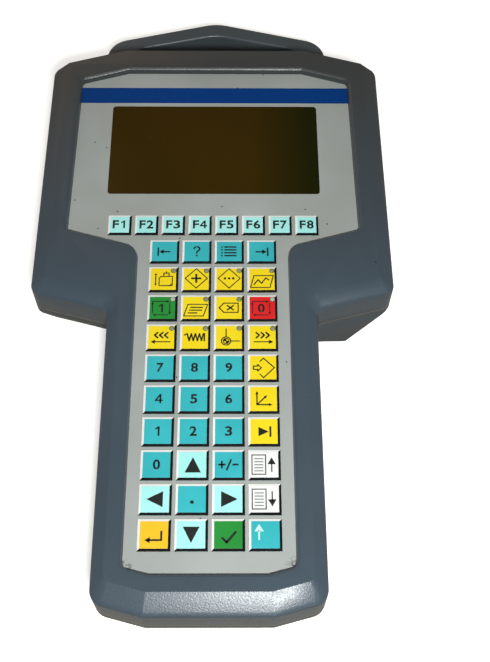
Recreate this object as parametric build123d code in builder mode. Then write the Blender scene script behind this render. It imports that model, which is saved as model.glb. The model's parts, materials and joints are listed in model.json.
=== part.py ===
from build123d import *
from math import tan, sin, cos, atan2, radians, degrees, hypot
import os

os.makedirs("parts", exist_ok=True)

# Hand-held operator terminal: wide display head, narrow keypad neck, carry bow behind the head.
# Frame: +X to the right, +Y towards the carry bow, +Z out of the panel, origin under the middle.

# Keypad dimensions
key_pitch = 19.0
key_rows = 10
key_cols = 4
key_width = 17.2
key_height = 17.0
top_row_key_height = 16.1
soft_key_count = 8
soft_row_margin = 41.4
soft_key_spacing = 2.0
soft_row_gap = 18.7
key_bevel_width = 1.1
key_proud = 0.9
key_travel = 0.5
key_gap = 0.3

# Display dimensions
window_width = 129.0
window_height = 68.0
window_centre_gap = 57.0
window_corner = 2.0

# Casing plan dimensions
foot_margin = 41.5
foot_flat = 66.0
neck_width = 120.0
head_width = 210.0
head_margin = 45.0
head_flat = 116.8
head_side_taper = 0.8
under_drop = 38.6
plan_slope = 15.0
top_slope = 16.0

# Casing section dimensions
casing_depth = 48.0
parting_height = 25.0
panel_drop = 4.0
overlay_thickness = 1.5
front_wall = 3.0
side_wall = 4.0
rear_wall = 3.0
rear_lean = 24.0
lean_start = 5.0
edge_round = 1.6

# Widths of the sloped margin round the front face
bevel_foot = 11.5
bevel_neck = 7.0
bevel_under = 9.0
bevel_side = 8.5
bevel_top = 2.0

# Widths of the raised rim round the panel
rim_side = 18.6
rim_top = 18.2
rim_neck = 16.0
rim_foot = 21.0
rim_slope_run = 1.2
panel_under_rise = 41.0
panel_foot_flat = 60.0
panel_top_flat = 111.4
panel_side_taper = 1.6

# Carry bow dimensions
bow_reach = 44.3
bow_half_width = 73.3
bow_bar = 11.6
bow_leg = 20.3
bow_depth = 23.0
bow_slope = 14.0
bow_round = 2.0
bow_corner_radius = 16.0
bow_crown_radius = 30.0

# Enabling grip dimensions
grip_neck_gap = 1.8
grip_side_margin = 1.3
grip_run_share = 0.5654
grip_height = 22.0
grip_toe_rise = 7.0
grip_end_lean = 2.8
grip_length = 92.0
grip_liner = 3.0
lever_length = 64.0
lever_width = 14.0
lever_thickness = 5.0
lever_proud = 3.0
lever_skin = 2.5
lever_swing = 3.0
lever_gap = 0.3
trunnion_radius = 2.0
trunnion_length = 3.0

# Inside dimensions
board_thickness = 1.6
board_pad = 2.0
mat_thickness = 1.2
dome_height = 0.8
dome_radius = 3.0
stem_radius = 3.0
flange_overhang = 0.25
flange_thickness = 1.0
flange_gap = 0.2
module_depth = 9.0
module_margin = 8.0
gasket_width = 1.6
gasket_height = 1.2
screw_shank_radius = 1.75
screw_head_radius = 3.2
screw_head_height = 2.4
boss_radius = 4.6
post_radius = 3.0
fit_gap = 0.1

# Cable gland dimensions
gland_side_margin = 19.0
gland_bore_radius = 3.5
gland_hex_flats = 15.0
gland_collar = 5.0
gland_cap_radius = 6.6
gland_cap_length = 9.0
gland_thread_radius = 5.8

# Keys of the upper row, spread over the width of the head
soft_key_pitch = (head_width - 2 * soft_row_margin) / soft_key_count
soft_key_size = soft_key_pitch - soft_key_spacing

# Stations along the body, from the foot to the top of the bow
total_length = (
    foot_margin + (key_rows - 1) * key_pitch + soft_row_gap + window_centre_gap
    + window_height / 2 + head_margin + bow_reach
)
foot_y = -total_length / 2
last_row_y = foot_y + foot_margin
first_row_y = last_row_y + (key_rows - 1) * key_pitch
soft_row_y = first_row_y + soft_row_gap
window_y = soft_row_y + window_centre_gap
head_top_y = window_y + window_height / 2 + head_margin
bow_top_y = head_top_y + bow_reach

# Levels through the thickness
panel_top = casing_depth - panel_drop
overlay_bottom = panel_top - overlay_thickness
wall_bottom = overlay_bottom - front_wall
board_top = wall_bottom - board_pad
board_bottom = board_top - board_thickness
mat_top = board_top + mat_thickness
flange_top = overlay_bottom - flange_gap
flange_bottom = flange_top - flange_thickness
stem_bottom = mat_top + dome_height + key_travel + key_gap
rear_inset = (parting_height - lean_start) * tan(radians(rear_lean))

# Plan of the casing, right half from the foot upwards
neck_x = neck_width / 2
head_x = head_width / 2
slope = tan(radians(plan_slope))
under_y = first_row_y - under_drop
shoulder_y = under_y + (head_x - neck_x) * slope
foot_side_y = foot_y + (neck_x - foot_flat / 2) * slope
head_corner_y = head_top_y - (head_x - head_flat / 2) * tan(radians(top_slope))
casing_right = [
    (foot_flat / 2, foot_y),
    (neck_x, foot_side_y),
    (neck_x, under_y),
    (head_x, shoulder_y),
    (head_x - head_side_taper, head_corner_y),
    (head_flat / 2, head_top_y),
]
casing_radii = [4.0, 9.0, 5.0, 6.0, 8.0, 4.0]

# Plan of the panel recess, right half from the foot upwards
panel_neck_x = neck_x - rim_neck
panel_head_x = head_x - rim_side
panel_foot_y = foot_y + rim_foot
panel_top_y = head_top_y - rim_top
panel_under_y = under_y + panel_under_rise
panel_foot_side_y = panel_foot_y + (panel_neck_x - panel_foot_flat / 2) * slope
panel_shoulder_y = panel_under_y + (panel_head_x - panel_neck_x) * tan(radians(top_slope))
panel_corner_y = panel_top_y - (panel_head_x - panel_top_flat / 2) * tan(radians(top_slope))
panel_right = [
    (panel_foot_flat / 2, panel_foot_y),
    (panel_neck_x, panel_foot_side_y),
    (panel_neck_x, panel_under_y),
    (panel_head_x, panel_shoulder_y),
    (panel_head_x - panel_side_taper, panel_corner_y),
    (panel_top_flat / 2, panel_top_y),
]
panel_radii = [4.0, 4.0, 9.0, 3.0, 3.0, 2.0]


# A closed loop from its right half
def both_sides(right):
    return right + [(-x, y) for x, y in reversed(right)]


# One value per edge of a mirrored loop
def edge_values(foot, neck, under, side, top):
    return [foot, neck, under, side, top, top, top, side, under, neck, foot, foot]


# The loop with every edge moved inwards by its own distance
def inset_loop(points, insets):
    moved = []
    count = len(points)
    for i in range(count):
        ax, ay = points[i - 1]
        bx, by = points[i]
        cx, cy = points[(i + 1) % count]
        l1 = hypot(bx - ax, by - ay)
        l2 = hypot(cx - bx, cy - by)
        n1 = (-(by - ay) / l1, (bx - ax) / l1)
        n2 = (-(cy - by) / l2, (cx - bx) / l2)
        d1 = n1[0] * bx + n1[1] * by + insets[i - 1]
        d2 = n2[0] * bx + n2[1] * by + insets[i]
        det = n1[0] * n2[1] - n1[1] * n2[0]
        moved.append(((d1 * n2[1] - d2 * n1[1]) / det, (n1[0] * d2 - n2[0] * d1) / det))
    return moved


# A filled outline with rounded corners at one height
def outline(points, radii, height):
    with BuildSketch(Plane.XY.offset(height)) as sketch:
        with BuildLine():
            FilletPolyline(*points, radius=radii, close=True)
        make_face()
    return sketch.sketch


# A solid through a stack of outlines
def stack(levels):
    with BuildPart() as body:
        for low, high in zip(levels, levels[1:]):
            loft([outline(*low), outline(*high)], ruled=True)
    return body.part


# Corner radii of a mirrored loop after an inset, never below a small one
def radii_after(radii, change):
    convex = [1, 1, -1, 1, 1, 1]
    half = [max(r - change * c, 0.8) for r, c in zip(radii, convex)]
    return half + half[::-1]


casing_loop = both_sides(casing_right)
panel_loop = both_sides(panel_right)


# The casing plan moved inwards evenly
def casing_level(inset, height):
    return inset_loop(casing_loop, [inset] * 12), radii_after(casing_radii, inset), height


# The panel plan moved outwards evenly
def panel_level(outset, height):
    return inset_loop(panel_loop, [-outset] * 12), radii_after(panel_radii, -outset), height


bevels = edge_values(bevel_foot, bevel_neck, bevel_under, bevel_side, bevel_top)
bevel_level = (inset_loop(casing_loop, bevels), radii_after(casing_radii, 5.0), casing_depth)

# Screw places: head corners, waist and foot
screw_side_x = head_x - rear_inset - side_wall - boss_radius - 1.0
screw_neck_x = neck_x - rear_inset - screw_head_radius - 3.4
waist_x = neck_x - 6.0
screw_top_y = head_corner_y - rear_inset - side_wall - boss_radius
waist_y = shoulder_y + rear_inset
screw_foot_y = foot_side_y + rear_inset + 12.0
screw_points = []
for side in (-1, 1):
    screw_points.append((side * screw_side_x, screw_top_y))
    screw_points.append((side * waist_x, waist_y))
    screw_points.append((side * screw_neck_x, screw_foot_y))
    screw_points.append((side * screw_neck_x, (screw_foot_y + under_y) / 2))
screw_tip = wall_bottom - 1.5
screw_seat = rear_wall + screw_head_height + 1.6

# Key centres, columns left to right
key_block_x = (key_cols - 1) * key_pitch / 2
soft_block_x = (soft_key_count - 1) * soft_key_pitch / 2
field_half_x = key_block_x + key_width / 2 + flange_overhang + key_gap + 0.6
field_low_y = last_row_y - key_height / 2 - flange_overhang - key_gap - 0.6
field_high_y = first_row_y + top_row_key_height / 2 + flange_overhang + key_gap + 0.6
soft_half_x = soft_block_x + soft_key_size / 2 + flange_overhang + key_gap + 0.6
soft_half_y = soft_key_size / 2 + flange_overhang + key_gap + 0.6


# Height of the keys in one row, counted from the top
def row_key_height(row):
    return top_row_key_height if row == 0 else key_height


# Gasket between the two shells
with BuildPart() as case_gasket:
    gasket_inset = (side_wall - gasket_width) / 2
    outer_g = casing_level(gasket_inset, parting_height)
    inner_g = casing_level(gasket_inset + gasket_width, parting_height)
    extrude(outline(*outer_g), amount=gasket_height)
    extrude(outline(*inner_g), amount=gasket_height, mode=Mode.SUBTRACT)

# Front shell
with BuildPart() as front_shell:
    add(stack([
        casing_level(0, parting_height),
        casing_level(0, panel_top - edge_round),
        casing_level(edge_round * 0.35, panel_top - edge_round * 0.35),
        (inset_loop(casing_loop, [b * 0.14 + edge_round * 0.6 for b in bevels]),
         radii_after(casing_radii, edge_round), panel_top + panel_drop * 0.14),
        bevel_level,
    ]))
    # Recess with a sloped edge
    add(stack([
        panel_level(fit_gap, overlay_bottom),
        panel_level(fit_gap, panel_top + 0.6),
        panel_level(fit_gap + rim_slope_run * 0.5, casing_depth - 1.0),
        panel_level(fit_gap + rim_slope_run * 1.6, casing_depth),
    ]), mode=Mode.SUBTRACT)
    # Hollow behind the front wall
    extrude(outline(*casing_level(side_wall, parting_height)),
            amount=wall_bottom - parting_height, mode=Mode.SUBTRACT)
    # Key, soft key and display openings
    with Locations((0, (field_low_y + field_high_y) / 2, overlay_bottom)):
        Box(2 * field_half_x, field_high_y - field_low_y, 2 * front_wall + 0.4, mode=Mode.SUBTRACT)
    with Locations((0, soft_row_y, overlay_bottom)):
        Box(2 * soft_half_x, 2 * soft_half_y, 2 * front_wall + 0.4, mode=Mode.SUBTRACT)
    with Locations((0, window_y, overlay_bottom)):
        Box(window_width, window_height, 2 * front_wall + 0.4, mode=Mode.SUBTRACT)
    # Rebate for the flange of the window
    with Locations((0, window_y, overlay_bottom)):
        Box(window_width + 6, window_height + 6, 2.4, mode=Mode.SUBTRACT)
    # Screw bosses
    with BuildSketch(Plane.XY.offset(parting_height)):
        with Locations(*screw_points):
            Circle(boss_radius)
    extrude(amount=wall_bottom - parting_height)
    with BuildSketch(Plane.XY.offset(parting_height)):
        with Locations(*screw_points):
            Circle(screw_shank_radius)
    extrude(amount=screw_tip - parting_height, mode=Mode.SUBTRACT)
    # Groove for the gasket
    add(case_gasket.part, mode=Mode.SUBTRACT)

# Board pads, where the board is clamped between the shells
board_half_x = key_block_x + key_width / 2 + 12.0
board_low_y = field_low_y - 5.0
board_high_y = soft_row_y + soft_half_y + 4.0
board_wide_low_y = soft_row_y - soft_half_y - 5.0
board_wide_x = soft_half_x + 6.0
pad_points = []
for side in (-1, 1):
    pad_points.append((side * (field_half_x + 4.6), board_low_y + 26.0))
    pad_points.append((side * (field_half_x + 4.6), (board_low_y + board_wide_low_y) / 2 + 24.0))
    pad_points.append((side * (field_half_x + 4.6), board_wide_low_y - 16.0))
    pad_points.append((side * (soft_half_x + 2.6), soft_row_y))
with BuildPart(mode=Mode.PRIVATE) as pads:
    with BuildSketch(Plane.XY.offset(board_top)):
        with Locations(*pad_points):
            Circle(post_radius - 0.6)
    extrude(amount=board_pad)

with BuildPart() as front_with_pads:
    add(front_shell.part)
    add(pads.part)

# Places of the posts that carry the display module
module_width = window_width + 2 * module_margin
module_height = window_height + 2 * module_margin
module_posts = []
for side_x in (-1, 1):
    for side_y in (-1, 1):
        module_posts.append((side_x * (module_width / 2 - 5), window_y + side_y * (module_height / 2 - 5)))

# Rear shell outside
with BuildPart() as rear_outside:
    foot_chamfer = 2.0
    lean_top = parting_height - lean_start
    add(stack([
        casing_level(rear_inset + foot_chamfer * 0.8, 0),
        casing_level(rear_inset - foot_chamfer * tan(radians(rear_lean)), foot_chamfer),
        casing_level(0, lean_top),
        casing_level(0, parting_height),
    ]))

# Carry bow behind the head
bow_tan = tan(radians(bow_slope))
bow_base_y = head_top_y - 14.0
bow_crown = bow_crown_radius * (1 / cos(radians(bow_slope)) - 1)
bow_apex_y = bow_top_y + bow_crown
bow_corner_y = bow_apex_y - bow_half_width * bow_tan
bow_inner_top = bow_apex_y - bow_bar
bow_inner_x = bow_half_width - bow_leg
bow_inner_y = bow_inner_top - bow_inner_x * bow_tan * 0.93
bow_spread = 1.5
with BuildPart() as carry_bow:
    with BuildSketch(Plane.XY.offset(parting_height)):
        with BuildLine():
            FilletPolyline(
                (-bow_half_width - bow_spread, bow_base_y),
                (bow_half_width + bow_spread, bow_base_y),
                (bow_half_width, bow_corner_y),
                (0, bow_apex_y),
                (-bow_half_width, bow_corner_y),
                radius=[1.0, 1.0, bow_corner_radius, bow_crown_radius, bow_corner_radius],
                close=True,
            )
        make_face()
        with BuildLine():
            FilletPolyline(
                (-bow_inner_x - 3.0, head_top_y - 40.0),
                (bow_inner_x + 3.0, head_top_y - 40.0),
                (bow_inner_x, bow_inner_y),
                (0, bow_inner_top),
                (-bow_inner_x, bow_inner_y),
                radius=[1.0, 1.0, 7.0, bow_crown_radius, 7.0],
                close=True,
            )
        make_face(mode=Mode.SUBTRACT)
    extrude(amount=-bow_depth)
    bow_edges = carry_bow.edges().filter_by(
        lambda e: abs(e.bounding_box().size.Z) < 0.01 and e.bounding_box().max.Y > bow_base_y + 1.0
    )
    fillet(bow_edges, radius=bow_round)

# Room for the enabling grip at the right of the back
grip_inner_x = neck_x + grip_neck_gap
grip_low_y = under_y - 2.0
grip_high_y = under_y + grip_length
pocket_x = head_x + 20.0
with BuildPart() as grip_liner_block:
    add(rear_outside.part)
    with Locations(((grip_inner_x - grip_liner + pocket_x) / 2, (grip_low_y - 8 + grip_high_y + grip_liner) / 2,
                    parting_height / 2)):
        Box(pocket_x - grip_inner_x + grip_liner, grip_high_y + grip_liner - grip_low_y + 8,
            parting_height + 1, mode=Mode.INTERSECT)

# Rear shell
cavity_inset = side_wall + (parting_height - rear_wall - lean_start) * tan(radians(rear_lean))
with BuildPart() as rear_shell:
    add(rear_outside.part)
    add(carry_bow.part)
    add(stack([
        casing_level(cavity_inset, rear_wall),
        casing_level(side_wall, parting_height - lean_start),
        casing_level(side_wall, parting_height),
    ]), mode=Mode.SUBTRACT)
    add(grip_liner_block.part)
    # Screw posts
    with BuildSketch():
        with Locations(*screw_points):
            Circle(boss_radius)
    extrude(amount=parting_height)
    # Posts under the board and under the display module
    with BuildSketch(Plane.XY.offset(rear_wall)):
        with Locations(*pad_points):
            Circle(post_radius)
    extrude(amount=board_bottom - rear_wall)
    with BuildSketch(Plane.XY.offset(rear_wall)):
        with Locations(*module_posts):
            Circle(post_radius)
    extrude(amount=wall_bottom - module_depth - rear_wall)
    # Room for the grip
    with Locations(((grip_inner_x + pocket_x) / 2, (grip_low_y - 20 + grip_high_y) / 2, 0)):
        Box(pocket_x - grip_inner_x, grip_high_y - grip_low_y + 20, 2 * grip_height, mode=Mode.SUBTRACT)
    # Screw holes
    with BuildSketch():
        with Locations(*screw_points):
            Circle(screw_shank_radius)
    extrude(amount=parting_height, mode=Mode.SUBTRACT)
    with BuildSketch():
        with Locations(*screw_points):
            Circle(screw_head_radius + fit_gap)
    extrude(amount=screw_seat, mode=Mode.SUBTRACT)

# Screws that hold the shells together
with BuildPart() as case_screws:
    with BuildSketch(Plane.XY.offset(screw_seat - screw_head_height)):
        with Locations(*screw_points):
            Circle(screw_head_radius)
    extrude(amount=screw_head_height)
    with BuildSketch(Plane.XY.offset(screw_seat)):
        with Locations(*screw_points):
            Circle(screw_shank_radius)
    extrude(amount=screw_tip - 0.5 - screw_seat)
    with BuildSketch(Plane.XY.offset(screw_seat - screw_head_height)):
        with Locations(*screw_points):
            RegularPolygon(radius=screw_head_radius * 0.5, side_count=6)
    extrude(amount=screw_head_height * 0.55, mode=Mode.SUBTRACT)

# Panel plate with apertures for every key and the display
with BuildPart() as keypad_overlay:
    add(stack([panel_level(0, overlay_bottom), panel_level(0, panel_top)]))
    with BuildSketch(Plane.XY.offset(overlay_bottom)):
        for row in range(key_rows):
            high = row_key_height(row)
            with Locations((0, first_row_y - row * key_pitch)):
                with GridLocations(key_pitch, key_pitch, key_cols, 1):
                    Rectangle(key_width + 2 * key_gap, high + 2 * key_gap)
        with Locations((0, soft_row_y)):
            with GridLocations(soft_key_pitch, soft_key_pitch, soft_key_count, 1):
                Rectangle(soft_key_size + 2 * key_gap, soft_key_size + 2 * key_gap)
        with Locations((0, window_y)):
            RectangleRounded(window_width, window_height, window_corner)
    extrude(amount=overlay_thickness, mode=Mode.SUBTRACT)

# Display window, flush in the panel, held by its flange
with BuildPart() as display_window:
    with BuildSketch(Plane.XY.offset(overlay_bottom - 1.2)):
        with Locations((0, window_y)):
            RectangleRounded(window_width + 6, window_height + 6, window_corner)
    extrude(amount=1.2)
    with BuildSketch(Plane.XY.offset(overlay_bottom)):
        with Locations((0, window_y)):
            RectangleRounded(window_width - 2 * fit_gap, window_height - 2 * fit_gap, window_corner)
    extrude(amount=overlay_thickness - 0.2)

# Display module behind the window
with BuildPart() as display_module:
    with BuildSketch(Plane.XY.offset(wall_bottom)):
        with Locations((0, window_y)):
            RectangleRounded(module_width, module_height, 1.5)
            RectangleRounded(window_width - 1.0, window_height - 1.0, 1.0, mode=Mode.SUBTRACT)
    extrude(amount=-1.2)
    with BuildSketch(Plane.XY.offset(wall_bottom - 1.2)):
        with Locations((0, window_y)):
            RectangleRounded(module_width, module_height, 1.5)
    extrude(amount=-module_depth + 1.2 + board_thickness)
    with BuildSketch(Plane.XY.offset(wall_bottom - module_depth + board_thickness)):
        with Locations((0, window_y)):
            Rectangle(module_width + 4, module_height)
    extrude(amount=-board_thickness)
    with Locations((0, window_y - module_height / 2 + 7.0, wall_bottom - module_depth - 1.5)):
        Box(30, 6, 3.0)

# Main board with its parts and twelve status lamps
lamp_rows = (1, 2, 3)
lamp_points = []
for row in lamp_rows:
    for col in range(key_cols):
        lamp_x = (col - (key_cols - 1) / 2) * key_pitch + key_width / 2 - 2.6
        lamp_points.append((lamp_x, first_row_y - row * key_pitch + key_height / 2 - 2.6))
with BuildPart() as main_board:
    with BuildSketch(Plane.XY.offset(board_bottom)):
        with Locations((0, (board_low_y + board_high_y) / 2)):
            Rectangle(2 * board_half_x, board_high_y - board_low_y)
        with Locations((0, (board_wide_low_y + board_high_y) / 2)):
            Rectangle(2 * board_wide_x, board_high_y - board_wide_low_y)
        with Locations(*screw_points):
            Circle(boss_radius + key_gap, mode=Mode.SUBTRACT)
    extrude(amount=board_thickness)
    # Processor, memory, driver chips, connector and buzzer under the board
    chip_line = (board_low_y + board_high_y) / 2
    with Locations((0, chip_line + 22, board_bottom - 1.2)):
        Box(28, 28, 2.4)
    with Locations((0, chip_line - 18, board_bottom - 1.0)):
        with GridLocations(26, 24, 2, 2):
            Box(18, 9, 2.0)
    with Locations((0, board_high_y - 12, board_bottom - 3.0)):
        Box(52, 8, 6.0)
    with Locations((0, board_low_y + 34, board_bottom - 3.5)):
        Cylinder(9, 7.0)
    # Lamps on the face of the board
    with BuildSketch(Plane.XY.offset(board_top)):
        with Locations(*lamp_points):
            Rectangle(2.2, 1.4)
    extrude(amount=1.9)

# Rubber mat with one dome under each key
with BuildPart() as key_mat:
    with BuildSketch(Plane.XY.offset(board_top)):
        with Locations((0, (field_low_y + field_high_y) / 2)):
            Rectangle(2 * field_half_x - 1.6, field_high_y - field_low_y)
        with Locations((0, soft_row_y)):
            Rectangle(2 * soft_half_x - 1.6, 2 * soft_half_y - 1.6)
        with Locations((0, (first_row_y + soft_row_y) / 2)):
            Rectangle(24, soft_row_gap)
        with Locations(*screw_points):
            Circle(boss_radius + key_gap, mode=Mode.SUBTRACT)
        with Locations(*lamp_points):
            Rectangle(2.8, 2.0, mode=Mode.SUBTRACT)
    extrude(amount=mat_thickness)
    with BuildSketch(Plane.XY.offset(mat_top)):
        for row in range(key_rows):
            with Locations((0, first_row_y - row * key_pitch)):
                with GridLocations(key_pitch, key_pitch, key_cols, 1):
                    Circle(dome_radius)
        with Locations((0, soft_row_y)):
            with GridLocations(soft_key_pitch, soft_key_pitch, soft_key_count, 1):
                Circle(dome_radius)
    extrude(amount=dome_height, taper=20)

# Line and plane of the slanted grip flank
flank_x = head_x - grip_side_margin
grip_flank_run = grip_run_share * (flank_x - grip_inner_x)
flank_low_x = flank_x - grip_flank_run
flank_angle = degrees(atan2(grip_height, grip_flank_run))
flank_length = hypot(grip_flank_run, grip_height)
lever_mid_y = grip_high_y - 10.0 - lever_length / 2
flank_mid = 0.45
flank_plane = Plane(
    origin=(flank_low_x + grip_flank_run * flank_mid, lever_mid_y, grip_height * flank_mid),
    x_dir=(0, 1, 0),
    z_dir=(sin(radians(flank_angle)), 0, -cos(radians(flank_angle))),
)
hinge_x = lever_length / 2 - 4.0
hinge_depth = -lever_thickness + lever_proud
lip_depth = lever_skin + flange_gap + 1.2
cavity_depth = lip_depth + (lever_length + 3.0) * sin(radians(lever_swing)) + 0.6

# Enabling grip, its end face running out from the shoulder towards the back
with BuildPart() as grip_body:
    with BuildSketch(Plane.XZ.offset(-grip_high_y)):
        with BuildLine():
            Polyline(
                (grip_inner_x, grip_toe_rise),
                (flank_low_x, 0),
                (flank_x, grip_height),
                (grip_inner_x, grip_height),
                close=True,
            )
        make_face()
    extrude(amount=grip_high_y - grip_low_y + 4)
    with BuildPart(mode=Mode.PRIVATE) as casing_prism:
        add(stack([
            (inset_loop(casing_loop, edge_values(0, 0, -grip_end_lean, 0, 0)),
             radii_after(casing_radii, 0), 0),
            casing_level(0, grip_height),
        ]))
    add(casing_prism.part, mode=Mode.INTERSECT)
    # Slot for the lever and the room behind it
    with BuildSketch(flank_plane):
        Rectangle(lever_length + 2 * lever_gap, lever_width + 2 * lever_gap)
    extrude(amount=-cavity_depth, mode=Mode.SUBTRACT)
    with BuildSketch(flank_plane.offset(-lever_skin)):
        with Locations((-2.5, 0)):
            Rectangle(lever_length + 2 * lever_gap + 1, lever_width + 2 * lever_gap)
    extrude(amount=-cavity_depth + lever_skin, mode=Mode.SUBTRACT)
    # Bearing of the trunnions
    with Locations(flank_plane * Pos(hinge_x, 0, hinge_depth) * Rot(90, 0, 0)):
        Cylinder(trunnion_radius + lever_gap, lever_width + 2 * trunnion_length + 2 * lever_gap,
                 mode=Mode.SUBTRACT)

# Lever that must be held down, with trunnions at its upper end and a stop lip at the other
with BuildPart() as enabling_lever:
    with BuildSketch(flank_plane.offset(-lever_thickness + lever_proud)):
        Rectangle(lever_length, lever_width)
    extrude(amount=lever_thickness)
    top_edges = enabling_lever.edges().filter_by(
        lambda e: (flank_plane.to_local_coords(e.center())).Z > lever_proud - 0.05
    )
    fillet(top_edges, radius=1.4)
    with BuildSketch(flank_plane.offset(-lever_skin - flange_gap)):
        with Locations((-lever_length / 2 - 0.6, 0)):
            Rectangle(3.0, lever_width - 2.0)
    extrude(amount=-1.2)
    with BuildSketch(flank_plane.offset(-lever_thickness + lever_proud)):
        with Locations((-lever_length / 2 + 3.0, 0)):
            Rectangle(6.0, lever_width - 2.0)
    extrude(amount=-(lever_skin + flange_gap + 1.2 - lever_thickness + lever_proud))
    with Locations(flank_plane * Pos(hinge_x, 0, hinge_depth) * Rot(90, 0, 0)):
        Cylinder(trunnion_radius, lever_width + 2 * trunnion_length)

# Cable gland on the top wall of the rear shell, beside the bow
gland_x = gland_side_margin - head_x
gland_z = parting_height / 2
gland_lean = (parting_height - lean_start - gland_z) * tan(radians(rear_lean))
gland_fall = (abs(gland_x) - head_flat / 2) * tan(radians(top_slope))
gland_wall_y = head_top_y - gland_fall - gland_lean
gland_plane = Plane(origin=(gland_x, gland_wall_y, gland_z), x_dir=(1, 0, 0), z_dir=(0, 1, 0))
gland_foot = gland_hex_flats / 2 * (tan(radians(rear_lean)) + tan(radians(top_slope))) + 0.6
with BuildPart() as cable_gland:
    with BuildSketch(gland_plane.offset(gland_foot)):
        RegularPolygon(radius=gland_hex_flats / 2, side_count=6, major_radius=False)
    extrude(amount=gland_collar)
    with BuildSketch(gland_plane.offset(gland_foot + gland_collar)):
        Circle(gland_cap_radius)
    extrude(amount=gland_cap_length, taper=6)
    with BuildSketch(gland_plane.offset(gland_foot)):
        Circle(gland_thread_radius)
    extrude(amount=-gland_foot - side_wall - 4.0)
    with BuildSketch(gland_plane.offset(gland_foot + gland_collar + gland_cap_length)):
        Circle(gland_bore_radius)
    extrude(amount=-gland_foot * 2 - gland_collar - gland_cap_length - side_wall - 12.0, mode=Mode.SUBTRACT)

# Rear shell finished with the gland seat and its hole
with BuildPart() as rear_complete:
    add(rear_shell.part)
    with BuildSketch(gland_plane.offset(gland_foot)):
        Circle(gland_hex_flats / 2 + 1.5)
    extrude(amount=-gland_foot - side_wall - 2.5)
    with BuildSketch(gland_plane.offset(gland_foot)):
        Circle(gland_thread_radius)
    extrude(amount=-gland_foot - side_wall - 7.0, mode=Mode.SUBTRACT)


# One key cap standing over the middle of its aperture
def key_cap(width, height):
    with BuildPart() as cap:
        with BuildSketch(Plane.XY.offset(flange_bottom)):
            Rectangle(width + 2 * key_gap + 2 * flange_overhang, height + 2 * key_gap + 2 * flange_overhang)
        extrude(amount=flange_thickness)
        with BuildSketch(Plane.XY.offset(flange_top)):
            Rectangle(width, height)
        extrude(amount=panel_top - flange_top)
        with BuildSketch(Plane.XY.offset(panel_top)) as low:
            Rectangle(width, height)
        with BuildSketch(Plane.XY.offset(panel_top + key_proud)) as high:
            Rectangle(width - 2 * key_bevel_width, height - 2 * key_bevel_width)
        loft([low.sketch, high.sketch], ruled=True)
        with BuildSketch(Plane.XY.offset(stem_bottom)):
            Circle(stem_radius)
        extrude(amount=flange_bottom - stem_bottom)
    return cap.part


key_names = [
    ["soft_left", "help", "menu", "soft_right"],
    ["setup", "program", "block", "graphics"],
    ["auto_cycle", "message", "clear", "stop_cycle"],
    ["jog_minus", "spring_wave", "home", "jog_plus"],
    ["7", "8", "9", "insert"],
    ["4", "5", "6", "axis"],
    ["1", "2", "3", "next"],
    ["0", "up", "sign", "page_up"],
    ["left", "point", "right", "page_down"],
    ["escape", "down", "accept", "shift"],
]
parts = {
    "front_shell": front_with_pads.part,
    "rear_shell": rear_complete.part,
    "keypad_overlay": keypad_overlay.part,
    "display_window": display_window.part,
    "display_module": display_module.part,
    "main_board": main_board.part,
    "key_mat": key_mat.part,
    "case_gasket": case_gasket.part,
    "case_screws": case_screws.part,
    "cable_gland": cable_gland.part,
    "enabling_grip": grip_body.part,
    "enabling_lever": enabling_lever.part,
}
plain_key = key_cap(key_width, key_height)
top_key = key_cap(key_width, top_row_key_height)
soft_key = key_cap(soft_key_size, soft_key_size)
for row, names in enumerate(key_names):
    for col, name in enumerate(names):
        place = Pos((col - (key_cols - 1) / 2) * key_pitch, first_row_y - row * key_pitch, 0)
        parts["key_" + name] = place * (top_key if row == 0 else plain_key)
for number in range(soft_key_count):
    place = Pos((number - (soft_key_count - 1) / 2) * soft_key_pitch, soft_row_y, 0)
    parts["key_f" + str(number + 1)] = place * soft_key

for name, shape in parts.items():
    shape.label = name
    export_step(shape, "parts/" + name + ".step")
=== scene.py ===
import json
import math
import bmesh
import bpy
from mathutils import Matrix, Vector


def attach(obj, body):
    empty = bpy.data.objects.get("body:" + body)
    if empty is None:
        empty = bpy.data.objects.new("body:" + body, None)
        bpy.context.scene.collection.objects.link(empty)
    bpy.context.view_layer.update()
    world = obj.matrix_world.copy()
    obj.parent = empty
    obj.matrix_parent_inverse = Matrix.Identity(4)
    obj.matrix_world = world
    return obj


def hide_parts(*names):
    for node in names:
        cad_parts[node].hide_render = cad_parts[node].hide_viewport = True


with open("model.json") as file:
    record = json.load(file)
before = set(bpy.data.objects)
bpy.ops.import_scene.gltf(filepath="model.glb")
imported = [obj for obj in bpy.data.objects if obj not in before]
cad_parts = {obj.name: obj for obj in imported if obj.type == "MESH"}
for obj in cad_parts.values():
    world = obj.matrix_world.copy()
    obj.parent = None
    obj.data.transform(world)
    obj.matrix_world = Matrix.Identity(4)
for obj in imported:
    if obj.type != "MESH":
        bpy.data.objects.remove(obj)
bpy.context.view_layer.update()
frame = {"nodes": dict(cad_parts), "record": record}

MM = 0.001

# Places and sizes on the terminal, in millimetres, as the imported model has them
PANEL_TOP = 44.0
KEY_TOP = 44.9
STEM_Z, FLANGE_Z, SKIRT_Z = 39.3, 41.3, 42.3
KEY_PITCH = 19.0
SOFT_PITCH = 15.9
FIRST_ROW_Y = 6.75
SOFT_ROW_Y = 25.45
KEY_SIZE, TOP_KEY_SIZE, SOFT_KEY_SIZE = (17.2, 17.0), (17.2, 16.1), (13.9, 13.9)
STEM_SIZE = (5.6, 5.6)
FLANGE_MARGIN = 1.1
BAND_LOW_Y, BAND_HIGH_Y = 118.95, 131.45
# Height of the parting lip, below which the front shell is painted pale as a highlight
PARTING_LIP_Z = 25.5

# Ink: how thick its film is, and how much wider than drawn a line of it prints
INK_FILM = 0.03
INK_SPREAD = 0.25

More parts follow.
